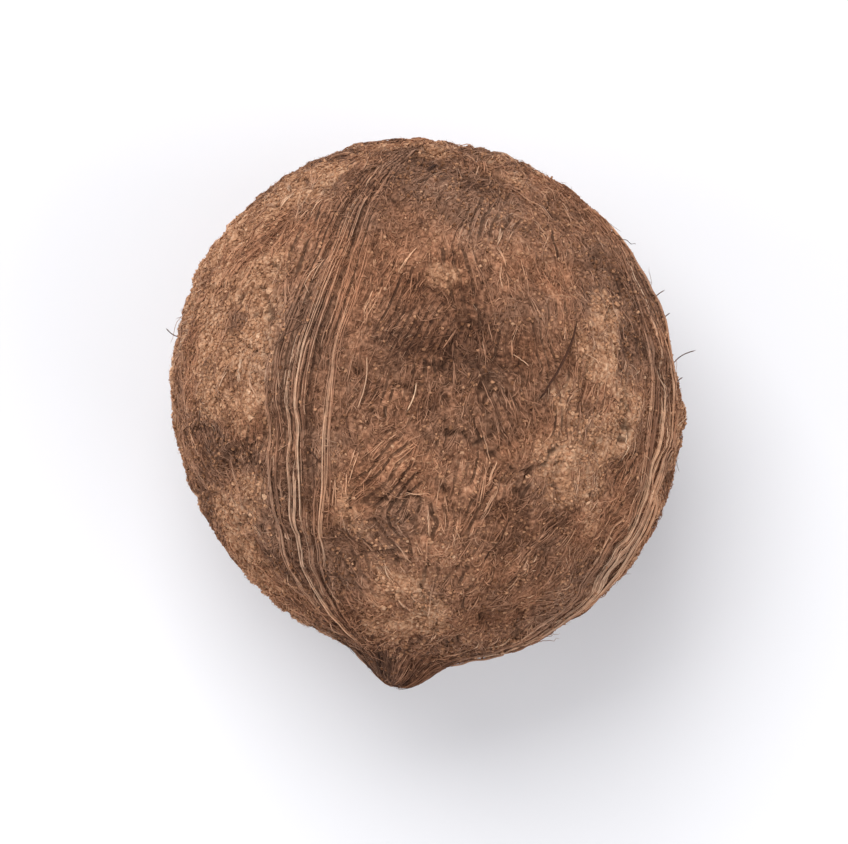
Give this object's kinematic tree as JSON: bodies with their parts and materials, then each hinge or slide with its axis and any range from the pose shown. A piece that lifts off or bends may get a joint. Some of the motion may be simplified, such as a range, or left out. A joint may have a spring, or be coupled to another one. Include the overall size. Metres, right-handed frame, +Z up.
{
  "type": "coconut",
  "caption": "Whole husked coconut, dried, with a coir-felted brown surface, seams and a blunt tip, lying on its side on a small flat spot.",
  "frame": {"origin": "middle of the footprint, on the surface that the nut's flat spot lies on", "axes": "+Z up, +Y along the nut's long axis from its pointed tip to the end with the eyes, +X across it"},
  "size_m": [0.0808, 0.0864, 0.0792],
  "materials": {
    "coir": "dry matte brown coir felt"
  },
  "bodies": {
    "root": {"coconut": "coir"}
  },
  "joints": []
}
